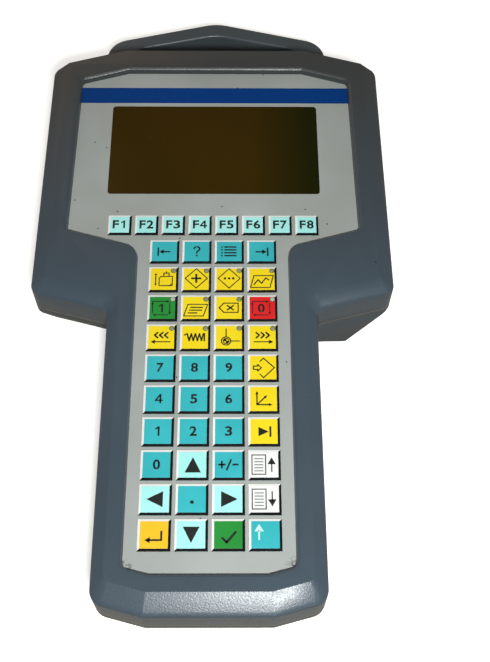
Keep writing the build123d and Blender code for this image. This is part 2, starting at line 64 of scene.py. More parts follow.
# The colour mix node: its setting, its sockets for the share, the colour under and the one over
COLOUR_MIX = {"data_type": "RGBA"}
SHARE, UNDER, OVER, MIXED = 0, 6, 7, 2


# sRGB hex to the linear colour that the shaders take
def colour(hex_value):
    channels = [int(hex_value[i:i + 2], 16) / 255 for i in (1, 3, 5)]
    linear = [c / 12.92 if c <= 0.04045 else ((c + 0.055) / 1.055) ** 2.4 for c in channels]
    return (*linear, 1.0)


# One shader node with its settings, values and links
def add_node(tree, kind, settings=None, values=None, links=None):
    node = tree.nodes.new(kind)
    for key, value in (settings or {}).items():
        setattr(node, key, value)
    for key, value in (values or {}).items():
        node.inputs[key].default_value = value
    for key, source in (links or {}).items():
        tree.links.new(source, node.inputs[key])
    return node


# A new material with its tree, its shader and the object's own coordinates
def new_material(name):
    material = bpy.data.materials.new(name)
    material.use_nodes = True
    tree = material.node_tree
    place = add_node(tree, "ShaderNodeTexCoord").outputs["Object"]
    return material, tree, tree.nodes["Principled BSDF"], place


# Dust and dirt specks about one per cell, each radius_mm wide
def speck_mask(tree, place, cell_mm, radius_mm, stretch=(1.0, 1.0, 1.0), flat="3D"):
    stretched = add_node(tree, "ShaderNodeMapping", values={"Scale": stretch}, links={"Vector": place})
    cells = add_node(tree, "ShaderNodeTexVoronoi", settings={"voronoi_dimensions": flat},
                     values={"Scale": 1000 / cell_mm, "Randomness": 1.0},
                     links={"Vector": stretched.outputs[0]})
    near = add_node(tree, "ShaderNodeMapRange",
                    values={"From Min": 0.6 * radius_mm / cell_mm, "From Max": radius_mm / cell_mm,
                            "To Min": 1.0, "To Max": 0.0},
                    links={"Value": cells.outputs["Distance"]})
    return near.outputs[0]


# Slow change of tone across a moulding or a print, from first to second
def mottled(tree, place, size_mm, first, second):
    cloud = add_node(tree, "ShaderNodeTexNoise", values={"Scale": 1000 / size_mm, "Detail": 4.0},
                     links={"Vector": place})
    soft = add_node(tree, "ShaderNodeMapRange", values={"From Min": 0.35, "From Max": 0.65},
                    links={"Value": cloud.outputs[0]})
    return add_node(tree, "ShaderNodeMix", COLOUR_MIX, {UNDER: first, OVER: second},
                    {SHARE: soft.outputs[0]}).outputs[MIXED]


# Bumps of one grain size in the surface: the bent normal and the height itself. Each finish has
# its grain drawn coarser than the real one of 0.05 to 0.3 mm, or it would not show at this distance
def grain(tree, place, size_mm, depth_mm):
    noise = add_node(tree, "ShaderNodeTexNoise", values={"Scale": 1000 / size_mm, "Detail": 2.0},
                     links={"Vector": place})
    bump = add_node(tree, "ShaderNodeBump", values={"Distance": depth_mm * MM, "Strength": 1.0},
                    links={"Height": noise.outputs[0]})
    return bump.outputs[0], noise.outputs[0]


# Moulded ABS: eroded tool finish with a fine grain, a satin gloss, pale scuffs and dark dirt; where
# asked, painted shade towards the head end and a painted highlight on the parting lip
def moulded_abs(name, base, lighter, roughness, grain_mm=0.9, depth_mm=0.035, lip_highlight_z=0.0, aged=None):
    material, tree, shader, place = new_material(name)
    tone = mottled(tree, place, 70.0, colour(base), colour(lighter))
    # painted shade: the head end is drawn darker and greyer, standing in for the light that falls off
    # towards it
    if aged:
        along = add_node(tree, "ShaderNodeSeparateXYZ", links={"Vector": place})
        head_end = add_node(tree, "ShaderNodeMapRange", links={"Value": along.outputs["Y"]},
                            values={"From Min": -20 * MM, "From Max": 140 * MM})
        tone = add_node(tree, "ShaderNodeMix", COLOUR_MIX, {OVER: colour(aged)},
                        {SHARE: head_end.outputs[0], UNDER: tone}).outputs[MIXED]
    dirt = speck_mask(tree, place, 17.0, 0.6)
    tone = add_node(tree, "ShaderNodeMix", COLOUR_MIX, {OVER: colour("#15181a")},
                    {SHARE: dirt, UNDER: tone}).outputs[MIXED]
    scuff = speck_mask(tree, place, 24.0, 0.5, (1.0, 0.5, 1.0))
    tone = add_node(tree, "ShaderNodeMix", COLOUR_MIX, {OVER: colour("#8d979d")},
                    {SHARE: scuff, UNDER: tone}).outputs[MIXED]
    # painted highlight: the lip along the parting line is drawn pale, as the thin line of light it
    # catches
    if lip_highlight_z:
        axes = add_node(tree, "ShaderNodeSeparateXYZ", links={"Vector": place})
        lip = add_node(tree, "ShaderNodeMath", settings={"operation": "LESS_THAN"},
                       values={1: lip_highlight_z * MM}, links={0: axes.outputs["Z"]})
        tone = add_node(tree, "ShaderNodeMix", COLOUR_MIX, {OVER: colour("#9a988c")},
                        {SHARE: lip.outputs[0], UNDER: tone}).outputs[MIXED]
    tree.links.new(tone, shader.inputs["Base Color"])
    normal, height = grain(tree, place, grain_mm, depth_mm)
    tree.links.new(normal, shader.inputs["Normal"])
    gloss = add_node(tree, "ShaderNodeMapRange", links={"Value": height},
                     values={"To Min": roughness - 0.08, "To Max": roughness + 0.10})
    tree.links.new(gloss.outputs[0], shader.inputs["Roughness"])
    return material


# Screen-printed panel plate: satin grey with a navy band, dirt specks, grime in the low corners
def printed_panel(name):
    material, tree, shader, place = new_material(name)
    tone = mottled(tree, place, 55.0, colour("#a5aaa6"), colour("#b0b5b2"))
    axes = add_node(tree, "ShaderNodeSeparateXYZ", links={"Vector": place})
    above = add_node(tree, "ShaderNodeMath", settings={"operation": "GREATER_THAN"},
                     values={1: BAND_LOW_Y * MM}, links={0: axes.outputs["Y"]})
    below = add_node(tree, "ShaderNodeMath", settings={"operation": "LESS_THAN"},
                     values={1: BAND_HIGH_Y * MM}, links={0: axes.outputs["Y"]})
    band = add_node(tree, "ShaderNodeMath", settings={"operation": "MULTIPLY"},
                    links={0: above.outputs[0], 1: below.outputs[0]})
    tone = add_node(tree, "ShaderNodeMix", COLOUR_MIX, {OVER: colour("#003c84")},
                    {SHARE: band.outputs[0], UNDER: tone}).outputs[MIXED]
    # grime gathers where the low corners of the panel meet the rim
    across = add_node(tree, "ShaderNodeMath", settings={"operation": "ABSOLUTE"},
                      links={0: axes.outputs["X"]})
    folded = add_node(tree, "ShaderNodeCombineXYZ",
                      links={"X": across.outputs[0], "Y": axes.outputs["Y"]})
    reach = add_node(tree, "ShaderNodeVectorMath", settings={"operation": "DISTANCE"},
                     values={1: (45.0 * MM, -182.2 * MM, 0.0)}, links={0: folded.outputs[0]})
    near = add_node(tree, "ShaderNodeMapRange",
                    values={"From Min": 3.0 * MM, "From Max": 8.0 * MM, "To Min": 1.0, "To Max": 0.0},
                    links={"Value": reach.outputs["Value"]})
    blots = add_node(tree, "ShaderNodeTexNoise", values={"Scale": 1000 / 1.6, "Detail": 4.0},
                     links={"Vector": place})
    crumbs = add_node(tree, "ShaderNodeMapRange", values={"From Min": 0.50, "From Max": 0.58},
                      links={"Value": blots.outputs[0]})
    patch = add_node(tree, "ShaderNodeMath", settings={"operation": "MULTIPLY"},
                     links={0: near.outputs[0], 1: crumbs.outputs[0]})
    tone = add_node(tree, "ShaderNodeMix", COLOUR_MIX, {OVER: colour("#4b4a40")},
                    {SHARE: patch.outputs[0], UNDER: tone}).outputs[MIXED]
    dirt = speck_mask(tree, place, 34.0, 0.55, flat="2D")
    tone = add_node(tree, "ShaderNodeMix", COLOUR_MIX, {OVER: colour("#1d1f1e")},
                    {SHARE: dirt, UNDER: tone}).outputs[MIXED]
    tree.links.new(tone, shader.inputs["Base Color"])
    normal = grain(tree, place, 1.1, 0.012)[0]
    tree.links.new(normal, shader.inputs["Normal"])
    shader.inputs["Roughness"].default_value = 0.5
    shader.inputs["Specular IOR Level"].default_value = 0.15
    return material


# Embossed polyester key foil: flat printed colour under a satin skin with a very fine tooth
def printed_foil(name, base, lighter, roughness=0.42, gloss=0.4):
    material, tree, shader, place = new_material(name)
    tone = mottled(tree, place, 24.0, colour(base), colour(lighter))
    tree.links.new(tone, shader.inputs["Base Color"])
    normal = grain(tree, place, 0.8, 0.008)[0]
    tree.links.new(normal, shader.inputs["Normal"])
    shader.inputs["Roughness"].default_value = roughness
    shader.inputs["Specular IOR Level"].default_value = gloss
    return material


# Smoked acrylic: near-black brown body, polished face that hardly mirrors in a dark room
def smoked_acrylic(name):
    material, tree, shader, place = new_material(name)
    tone = mottled(tree, place, 60.0, colour("#372805"), colour("#3c2b07"))
    # the display behind shows through greener and darker at its right end
    axes = add_node(tree, "ShaderNodeSeparateXYZ", links={"Vector": place})
    right = add_node(tree, "ShaderNodeMapRange", values={"From Min": 22 * MM, "From Max": 60 * MM},
                     links={"Value": axes.outputs["X"]})
    tone = add_node(tree, "ShaderNodeMix", COLOUR_MIX, {OVER: colour("#1e2006")},
                    {SHARE: right.outputs[0], UNDER: tone}).outputs[MIXED]
    dust = speck_mask(tree, place, 16.0, 0.3)
    tone = add_node(tree, "ShaderNodeMix", COLOUR_MIX, {OVER: colour("#6a5a20")},
                    {SHARE: dust, UNDER: tone}).outputs[MIXED]
    tree.links.new(tone, shader.inputs["Base Color"])
    shader.inputs["Roughness"].default_value = 0.16
    shader.inputs["Specular IOR Level"].default_value = 0.05
    return material


# Silicone or nitrile rubber: dull, slightly dusty
def dull_rubber(name, base, lighter):
    material, tree, shader, place = new_material(name)
    tone = mottled(tree, place, 12.0, colour(base), colour(lighter))
    tree.links.new(tone, shader.inputs["Base Color"])
    normal = grain(tree, place, 0.7, 0.02)[0]
    tree.links.new(normal, shader.inputs["Normal"])
    shader.inputs["Roughness"].default_value = 0.75
    return material


# Zinc-plated steel: pale metal with a soft uneven sheen
def zinc_plated_steel(name):
    material, tree, shader, place = new_material(name)
    tone = mottled(tree, place, 3.0, colour("#b9bcbf"), colour("#9a9fa3"))
    tree.links.new(tone, shader.inputs["Base Color"])
    shader.inputs["Metallic"].default_value = 1.0
    normal, height = grain(tree, place, 0.5, 0.01)
    tree.links.new(normal, shader.inputs["Normal"])
    gloss = add_node(tree, "ShaderNodeMapRange", values={"To Min": 0.28, "To Max": 0.45},
                     links={"Value": height})
    tree.links.new(gloss.outputs[0], shader.inputs["Roughness"])
    return material


# Glass-epoxy circuit board: green lacquer with copper showing through as lighter lines, drawn
# 6 mm apart where real tracks lie closer
def lacquered_board(name):
    material, tree, shader, place = new_material(name)
    tracks = add_node(tree, "ShaderNodeTexBrick", links={"Vector": place},
                      values={"Scale": 1000 / 6.25, "Color1": colour("#0d4a24"),
                              "Color2": colour("#0b3f1f"), "Mortar": colour("#2f7a3c"),
                              "Mortar Size": 0.03})
    tree.links.new(tracks.outputs["Color"], shader.inputs["Base Color"])
    shader.inputs["Roughness"].default_value = 0.35
    return material


# Screen ink on a foil: flat and slightly raised
def screen_ink(name, base, lighter, roughness=0.5):
    material, tree, shader, place = new_material(name)
    tone = mottled(tree, place, 4.0, colour(base), colour(lighter))
    tree.links.new(tone, shader.inputs["Base Color"])
    shader.inputs["Roughness"].default_value = roughness
    return material


# Front shell: painted shade darkens its head end
slate_front = moulded_abs("moulded_abs_slate_front", "#404d58", "#45535e", 0.31, 0.9, 0.07,
                          lip_highlight_z=PARTING_LIP_Z, aged="#3c3f3f")
# The rear shell's slate is warmer and greyer than the front's: the warm light on the underside walls
# painted into the colour
slate_rear = moulded_abs("moulded_abs_slate_rear", "#424a4d", "#474f53", 0.36)
slate_grip = moulded_abs("moulded_abs_slate_grip", "#40484e", "#454e54", 0.36)
black_lever = moulded_abs("moulded_abs_black", "#191a1c", "#202124", 0.5, 0.7, 0.02)
black_gland = moulded_abs("moulded_polyamide_black", "#141517", "#1c1d1f", 0.48, 0.6, 0.02)
panel_print = printed_panel("printed_polyester_panel_grey")
window_smoke = smoked_acrylic("cast_acrylic_smoked")
mat_silicone = dull_rubber("moulded_silicone_grey", "#5b5c5d", "#666768")
gasket_nitrile = dull_rubber("moulded_nitrile_black", "#121212", "#1b1b1b")
screw_zinc = zinc_plated_steel("zinc_plated_steel")
board_lacquer = lacquered_board("lacquered_glass_epoxy")
module_lacquer = moulded_abs("stamped_steel_lacquered_black", "#151515", "#1c1c1c", 0.5, 0.6, 0.01)
foils = {
    "key_teal": printed_foil("printed_foil_teal", "#37b7bf", "#3ec1ca"),
    "key_yellow": printed_foil("printed_foil_yellow", "#ffe01a", "#ffe624"),
    "key_aqua": printed_foil("printed_foil_aqua", "#aaf6f0", "#b4fcf7"),
    "key_green": printed_foil("printed_foil_green", "#218e35", "#28993e"),
    "key_white": printed_foil("printed_foil_white", "#f4f6f3", "#fafbf9"),
    "key_red": printed_foil("printed_foil_red", "#e52022", "#ed292b"),
    "key_orange": printed_foil("printed_foil_orange", "#ffc628", "#ffd036"),
}
edge_white = printed_foil("printed_foil_edge_white", "#fafbf8", "#fffffd")
# black of the keys' printed edges, used too as painted shade round the status lamps
edge_black_and_lamp_shade = printed_foil("printed_foil_edge_black", "#0e1011", "#14181a", 0.75, 0.12)
ink_black = screen_ink("screen_ink_black", "#101314", "#171b1c")
ink_grey = screen_ink("screen_ink_grey", "#6f7577", "#7b8183")
ink_pale = screen_ink("screen_ink_pale", "#c9f5ef", "#d4faf5")
lamp_lens = screen_ink("moulded_lens_grey_green", "#949976", "#858b6b", 0.2)
lamp_lens_pale = screen_ink("moulded_lens_pale", "#c3c6b8", "#b4b8a9", 0.2)


# Nothing selected, in object mode
def deselect_all():
    if bpy.context.mode != "OBJECT":
        bpy.ops.object.mode_set(mode="OBJECT")
    bpy.ops.object.select_all(action="DESELECT")


# One piece selected and active
def make_active(piece):
    deselect_all()
    piece.select_set(True)
    bpy.context.view_layer.objects.active = piece


# A modifier added with its settings and applied at once
def apply_modifier(piece, kind, **settings):
    make_active(piece)
    modifier = piece.modifiers.new(kind.lower(), kind)
    for key, value in settings.items():
        setattr(modifier, key, value)
    bpy.ops.object.modifier_apply(modifier=modifier.name)


# Place, turn and scale go into the mesh, so that the piece's object sits at the origin
def settle(piece):
    make_active(piece)
    bpy.ops.object.transform_apply(location=True, rotation=True, scale=True)


# A CAD node's own mesh, welded, with its hard edges rounded as the moulding has them
def rounded_copy(node, name, material, body, edge_mm):
    mesh = frame["nodes"][node].data.copy()
    piece = bpy.data.objects.new(name, mesh)
    bpy.context.scene.collection.objects.link(piece)
    make_active(piece)
    bpy.ops.object.mode_set(mode="EDIT")
    bpy.ops.mesh.select_all(action="SELECT")
    bpy.ops.mesh.remove_doubles(threshold=0.000004)
    bpy.ops.mesh.dissolve_limited(angle_limit=math.radians(0.6))
    bpy.ops.object.mode_set(mode="OBJECT")
    apply_modifier(piece, "BEVEL", width=edge_mm * MM, segments=2, limit_method="ANGLE",
                   angle_limit=math.radians(28), use_clamp_overlap=True, harden_normals=False)
    make_active(piece)
    bpy.ops.object.shade_smooth_by_angle(angle=math.radians(40))
    piece.data.materials.clear()
    piece.data.materials.append(material)
    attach(piece, body)
    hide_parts(node)
    return piece


# A copy of a modelled form with its own mesh, brought to its place inside that mesh
def copy_form(form, name, x, y, z):
    mesh = form.data.copy()
    mesh.transform(Matrix.Translation((x * MM, y * MM, z * MM)))
    piece = bpy.data.objects.new(name, mesh)
    bpy.context.scene.collection.objects.link(piece)
    return piece


# The slopes round the neck and the foot meet in clear edges, those of the head flow together
def crisp_foot(piece):
    form = bmesh.new()
    form.from_mesh(piece.data)
    for edge in form.edges:
        middle = (edge.verts[0].co + edge.verts[1].co) / 2
        if len(edge.link_faces) == 2 and middle.y < -0.035 and edge.calc_face_angle() > math.radians(13):
            edge.smooth = False
    form.to_mesh(piece.data)
    form.free()


# The material of a CAD node that is shown as it is
def give_material(node, material):
    target = frame["nodes"][node]
    target.data.materials.clear()
    target.data.materials.append(material)


# Casing, grip, lever, gland and screws
front = rounded_copy("front_shell", "casing_front", slate_front, "casing", 0.5)
crisp_foot(front)
rounded_copy("rear_shell", "casing_rear", slate_rear, "casing", 0.5)
rounded_copy("enabling_grip", "grip_block", slate_grip, "casing", 0.8)
rounded_copy("enabling_lever", "grip_lever", black_lever, "lever", 0.3)
rounded_copy("cable_gland", "gland_body", black_gland, "casing", 0.4)
rounded_copy("case_screws", "screw_heads", screw_zinc, "casing", 0.2)
give_material("keypad_overlay", panel_print)
give_material("display_window", window_smoke)
give_material("display_module", module_lacquer)
give_material("main_board", board_lacquer)
give_material("key_mat", mat_silicone)
give_material("case_gasket", gasket_nitrile)


# The selected faces drawn out to a new height and brought to a new width and depth
def draw_out(rise, now, then):
    bpy.ops.mesh.extrude_region_move(TRANSFORM_OT_translate={"value": (0, 0, rise * MM)})
    bpy.ops.transform.resize(value=(then[0] / now[0], then[1] / now[1], 1.0))


# The faces that look straight up (1) or straight down (-1) selected in edit mode
def select_end(piece, up):
    bpy.ops.object.mode_set(mode="EDIT")
    bpy.ops.mesh.select_mode(type="FACE")
    bpy.ops.mesh.select_all(action="DESELECT")
    bpy.ops.object.mode_set(mode="OBJECT")
    for face in piece.data.polygons:
        face.select = face.normal.z * up > 0.9
    bpy.ops.object.mode_set(mode="EDIT")


# A key as the foil shows it: stem, flange, upright skirt, broad printed edge and flat face
def key_form(name, size):
    deselect_all()
    width, height = size
    flange = (width + FLANGE_MARGIN, height + FLANGE_MARGIN)
    bpy.ops.mesh.primitive_cube_add(size=1, location=(0, 0, (FLANGE_Z + SKIRT_Z) / 2 * MM))
    piece = bpy.context.object
    piece.name = name
    piece.scale = (flange[0] * MM, flange[1] * MM, (SKIRT_Z - FLANGE_Z) * MM)
    settle(piece)
    select_end(piece, -1)
    draw_out(0.0, flange, STEM_SIZE)
    draw_out(STEM_Z - FLANGE_Z, STEM_SIZE, STEM_SIZE)
    select_end(piece, 1)
    now_z, now = SKIRT_Z, flange
    for level_z, inset in ((SKIRT_Z, 0.0), (PANEL_TOP, 0.0), (PANEL_TOP + 0.5, 0.10),
                           (KEY_TOP - 0.04, 1.32), (KEY_TOP, 1.42)):
        then = (width - 2 * inset, height - 2 * inset)
        draw_out(level_z - now_z, now, then)
        now_z, now = level_z, then
    bpy.ops.object.mode_set(mode="OBJECT")
    for material in (foils["key_teal"], edge_white, edge_black_and_lamp_shade):
        piece.data.materials.append(material)
    for face in piece.data.polygons:
        if PANEL_TOP - 0.01 < face.center.z / MM < KEY_TOP - 0.03:
            lit = face.normal.x < -0.2 or face.normal.y > 0.2
            face.material_index = 1 if lit else 2
        else:
            face.material_index = 0
    make_active(piece)
    bpy.ops.object.shade_smooth_by_angle(angle=math.radians(12))
    return piece


# A key's cap in place of its CAD node, with the foil of its own slot
def place_key(form, node, x, y):
    piece = copy_form(form, node + "_cap", x, y, 0)
    piece.data.materials[0] = foils[slot_of[node]]
    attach(piece, node)
    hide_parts(node)


slot_of = {part["node"]: part["material_slot"] for part in frame["record"]["subparts"]}
key_names = [
    ["soft_left", "help", "menu", "soft_right"],
    ["setup", "program", "block", "graphics"],
    ["auto_cycle", "message", "clear", "stop_cycle"],
    ["jog_minus", "spring_wave", "home", "jog_plus"],
    ["7", "8", "9", "insert"],
    ["4", "5", "6", "axis"],
    ["1", "2", "3", "next"],
    ["0", "up", "sign", "page_up"],
    ["left", "point", "right", "page_down"],
    ["escape", "down", "accept", "shift"],
]
key_place, key_size = {}, {}
top_form = key_form("key_form_top", TOP_KEY_SIZE)
plain_form = key_form("key_form", KEY_SIZE)
soft_form = key_form("key_form_soft", SOFT_KEY_SIZE)
for row, names in enumerate(key_names):
    for col, name in enumerate(names):
        node = "key_" + name
        x, y = (col - 1.5) * KEY_PITCH, FIRST_ROW_Y - row * KEY_PITCH
        key_place[node], key_size[node] = (x, y), KEY_SIZE if row else TOP_KEY_SIZE
        place_key(plain_form if row else top_form, node, x, y)
for number in range(8):
    node, x = "key_f%d" % (number + 1), (number - 3.5) * SOFT_PITCH
    key_place[node], key_size[node] = (x, SOFT_ROW_Y), SOFT_KEY_SIZE
    place_key(soft_form, node, x, SOFT_ROW_Y)
for form in (top_form, plain_form, soft_form):
    bpy.data.objects.remove(form)


# Rectangle of the given size, turned about its own centre, added to the mesh in edit mode
def flat_bar(x, y, z, width, height, turn=0.0):
    bpy.ops.mesh.primitive_plane_add(size=1, location=(0, 0, 0))
    bpy.ops.transform.resize(value=(width, height, 1), center_override=(0, 0, 0))
    if turn:
        bpy.ops.transform.rotate(value=-turn, orient_axis="Z", center_override=(0, 0, 0))
    bpy.ops.transform.translate(value=(x, y, z))


# Thin webs of the panel foil that run right up to each key's skirt
def foil_webs():
    deselect_all()
    bpy.ops.mesh.primitive_plane_add(size=1, location=(0, 0, 0))
    piece = bpy.context.object
    piece.name = "panel_foil_webs"
    bpy.ops.object.mode_set(mode="EDIT")
    bpy.ops.mesh.select_all(action="SELECT")
    bpy.ops.mesh.delete(type="FACE")
    for node, (x, y) in key_place.items():
        width, height = key_size[node]
        bpy.ops.mesh.select_all(action="DESELECT")
        flat_bar(x * MM, y * MM, (PANEL_TOP - 0.03) * MM, (width + 0.8) * MM, (height + 0.8) * MM)
        bpy.ops.mesh.inset(thickness=0.36 * MM, use_even_offset=True)
        bpy.ops.mesh.delete(type="FACE")
    bpy.ops.object.mode_set(mode="OBJECT")
    apply_modifier(piece, "SOLIDIFY", thickness=0.08 * MM, offset=0.0)
    piece.data.materials.append(panel_print)
    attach(piece, "casing")


foil_webs()


# Printed signs. A sign is drawn flat in millimetres round the key's centre, in an empty mesh in
# edit mode, and then laid on the key's face
def begin_sign(name):
    deselect_all()
    bpy.ops.mesh.primitive_plane_add(size=1)
    piece = bpy.context.object
    piece.name = name
    bpy.ops.object.mode_set(mode="EDIT")
    bpy.ops.mesh.select_all(action="SELECT")
    bpy.ops.mesh.delete(type="VERT")
    return piece


# A line of ink from one point to another, a little longer than they are apart
def stroke(x0, y0, x1, y1, width):
    width = width + INK_SPREAD
    flat_bar((x0 + x1) / 2, (y0 + y1) / 2, 0, math.hypot(x1 - x0, y1 - y0) + width * 0.6, width,
             math.atan2(y1 - y0, x1 - x0))


# A line of ink through several points
def path(points, width, closed=False):
    ends = points[1:] + points[:1] if closed else points[1:]
    for (x0, y0), (x1, y1) in zip(points, ends):
        stroke(x0, y0, x1, y1, width)


# Solid triangle with its tip at (x, y), pointing along the given turn
def arrow_head(x, y, turn, length, width):
    bpy.ops.mesh.select_all(action="DESELECT")
    bpy.ops.mesh.primitive_circle_add(vertices=3, radius=1, fill_type="NGON", location=(0, 0, 0))
    bpy.ops.transform.resize(value=(width / math.sqrt(3), length / 1.5, 1), center_override=(0, 0, 0))
    bpy.ops.transform.translate(value=(0, -length / 1.5, 0))
    bpy.ops.transform.rotate(value=-math.radians(turn - 90), orient_axis="Z", center_override=(0, 0, 0))
    bpy.ops.transform.translate(value=(x, y, 0))


# A circle of ink
def ring(x, y, radius, width):
    bpy.ops.mesh.select_all(action="DESELECT")
    bpy.ops.mesh.primitive_circle_add(vertices=40, radius=radius, fill_type="NGON", location=(x, y, 0))
    bpy.ops.mesh.inset(thickness=width + INK_SPREAD)
    bpy.ops.mesh.delete(type="FACE")


# A filled spot of ink
def disc(x, y, radius_x, radius_y):
    bpy.ops.mesh.primitive_circle_add(vertices=32, radius=1, fill_type="NGON", location=(0, 0, 0))
    bpy.ops.transform.resize(value=(radius_x, radius_y, 1), center_override=(0, 0, 0))
    bpy.ops.transform.translate(value=(x, y, 0))


# Letters or digits in the plain built-in face, brought to a width and height round (x, y)
def lettering(name, text, width, height, x, y):
    deselect_all()
    bpy.ops.object.text_add(location=(0, 0, 0))
    piece = bpy.context.object
    piece.name = name
    piece.data.body = text
    # a little bolder than the face itself
    piece.data.offset = 0.027
    piece.data.resolution_u = 6
    bpy.ops.object.convert(target="MESH")
    piece = bpy.context.object
    xs = [v.co.x for v in piece.data.vertices]
    ys = [v.co.y for v in piece.data.vertices]
    centre = Vector(((max(xs) + min(xs)) / 2, (max(ys) + min(ys)) / 2, 0))
    fit = Matrix.Diagonal((width / (max(xs) - min(xs)), height / (max(ys) - min(ys)), 1, 1))
    piece.data.transform(Matrix.Translation((x, y, 0)) @ fit @ Matrix.Translation(-centre))
    return piece


# The finished sign, a film of ink on the face of its key
def lay_sign(piece, node, ink):
    if bpy.context.mode != "OBJECT":
        bpy.ops.object.mode_set(mode="OBJECT")
    x, y = key_place[node]
    piece.data.transform(Matrix.Translation((x * MM, y * MM, (KEY_TOP + INK_FILM / 2) * MM)) @
                         Matrix.Scale(MM, 4))
    make_active(piece)
    bpy.ops.object.mode_set(mode="EDIT")
    bpy.ops.mesh.select_all(action="SELECT")
    bpy.ops.mesh.normals_make_consistent(inside=False)
    bpy.ops.object.mode_set(mode="OBJECT")
    for polygon in piece.data.polygons:
        if polygon.normal.z < 0:
            polygon.flip()
    apply_modifier(piece, "SOLIDIFY", thickness=INK_FILM * MM, offset=1.0)
    piece.data.materials.clear()
    piece.data.materials.append(ink)
    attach(piece, node)


# One and four in straight strokes
def straight_figure(name, figure, x, y):
    piece = begin_sign(name)
    if figure == "1":
        stroke(x + 0.5, y - 2.4, x + 0.5, y + 2.4, 0.80)
        stroke(x + 0.4, y + 2.3, x - 1.1, y + 1.3, 0.60)
    else:
        stroke(x + 0.8, y - 2.4, x + 0.8, y + 2.5, 0.72)
        path([(x + 0.7, y + 2.4), (x - 1.8, y - 0.9), (x + 1.9, y - 0.9)], 0.62)
    return piece


def figure_sign(name, figure, x, y, width=3.8, height=5.6):
    if figure in "14":
        return straight_figure(name, figure, x, y)
    return lettering(name, figure, width, height, x, y)


# Digits and the numbered soft keys
for node in key_place:
    label = node[4:]
    if label.isdigit():
        lay_sign(figure_sign(node + "_sign", label, 0.0, 0.1), node, ink_black)
    elif label[0] == "f" and label[1:].isdigit():
        lay_sign(lettering(node + "_letter", "F", 3.6, 5.9, -2.4, 0.2), node, ink_black)
        lay_sign(figure_sign(node + "_sign", label[1], 2.1, 0.2, 4.0, 5.9), node, ink_black)


# Four arrows that run clockwise round a figure
def cycle_arrows(x, y, half_w, half_h):
    line, head_length, head_width = 0.3, 1.9, 1.5
    left, right, low, high = x - half_w, x + half_w, y - half_h, y + half_h
    stroke(left, high, right - 1.2, high, line)
    arrow_head(right, high, 0, head_length, head_width)
    stroke(right, high - 1.0, right, low + 1.4, line)
    arrow_head(right, low, -90, head_length, head_width)
    stroke(right - 1.0, low, left + 1.6, low, line)
    arrow_head(left, low, 180, head_length, head_width)
    stroke(left, low + 1.0, left, high - 1.4, line)
    arrow_head(left, high, 90, head_length, head_width)


for node, figure in (("key_auto_cycle", "1"), ("key_stop_cycle", "0")):
    sign = begin_sign(node + "_arrows")
    cycle_arrows(-0.7, -0.3, 4.9, 4.4)
    lay_sign(sign, node, ink_black)
    lay_sign(figure_sign(node + "_figure", figure, -0.6, -0.3), node, ink_black)

# Bars with arrows on the two side keys of the top row
for node, side in (("key_soft_left", -1), ("key_soft_right", 1)):
    sign = begin_sign(node + "_sign")
    stroke(side * 3.6, -3.0, side * 3.6, 2.4, 0.7)
    stroke(-side * 3.2, -0.3, side * 1.4, -0.3, 0.7)
    arrow_head(side * 3.0, -0.3, 0 if side > 0 else 180, 2.6, 3.2)
    lay_sign(sign, node, ink_black)

# Question mark and list
sign = begin_sign("key_help_sign")
path([(-1.7, 1.7), (-1.3, 2.7), (0.0, 3.2), (1.3, 2.7), (1.7, 1.6), (1.2, 0.6), (0.2, -0.1), (0.0, -1.3)],
     0.6)
disc(0.0, -3.0, 0.6, 0.6)
lay_sign(sign, "key_help", ink_black)
sign = begin_sign("key_menu_sign")
for line in range(4):
    stroke(-2.6, 3.0 - line * 2.0, 4.0, 3.0 - line * 2.0, 0.7)
    disc(-4.2, 3.0 - line * 2.0, 0.55, 0.55)
lay_sign(sign, "key_menu", ink_black)

# Case with a lid and an upright arrow
sign = begin_sign("key_setup_sign")
path([(-2.4, -4.4), (-2.4, 0.6), (-1.4, 1.8), (5.2, 1.8), (5.2, -4.4)], 0.35, closed=True)
path([(0.2, 1.8), (0.2, 4.0), (3.2, 4.0), (3.2, 1.8)], 0.35)
path([(3.6, -4.4), (5.2, -3.0)], 0.35)
stroke(1.7, 4.0, 1.7, 5.0, 0.35)
stroke(-4.4, 3.2, -4.4, -3.4, 0.35)
arrow_head(-4.4, -4.6, -90, 1.6, 1.4)
stroke(-5.0, 3.3, -3.8, 3.3, 0.35)
lay_sign(sign, "key_setup", ink_black)

# Diamonds: one with a cross, one with three dots
for node in ("key_program", "key_block"):
    sign = begin_sign(node + "_sign")
    path([(-6.4, 0.5), (0, 7.0), (6.4, 0.5), (0, -6.0)], 0.35, closed=True)
    if node == "key_program":
        stroke(-2.6, 0.5, 2.6, 0.5, 0.9)
        stroke(0, -2.2, 0, 3.2, 0.9)
    else:
        for step in (-2.4, 0.0, 2.4):
            disc(step, 0.5, 0.75, 0.75)
    lay_sign(sign, node, ink_black)


# Slanted frame, as on the picture and message keys
def slanted_frame(half_w, half_h, lean, drop):
    path([(-half_w - lean, drop - half_h), (-half_w + lean, drop + half_h),
          (half_w + lean, drop + half_h), (half_w - lean, drop - half_h)], 0.35, closed=True)


sign = begin_sign("key_graphics_sign")
slanted_frame(5.6, 4.0, 1.0, -1.6)
path([(-4.6, -3.6), (-2.2, -0.4), (-0.2, -2.8), (2.2, 0.8), (4.0, -0.6)], 0.45)
lay_sign(sign, "key_graphics", ink_black)
sign = begin_sign("key_message_sign")
slanted_frame(5.6, 3.8, 1.2, -1.6)
for line in range(3):
    shift = 0.6 - line * 0.6
    stroke(-3.6 + shift, 0.2 - line * 1.8, 3.4 + shift - (line == 2) * 2.0, 0.2 - line * 1.8, 0.5)
lay_sign(sign, "key_message", ink_black)

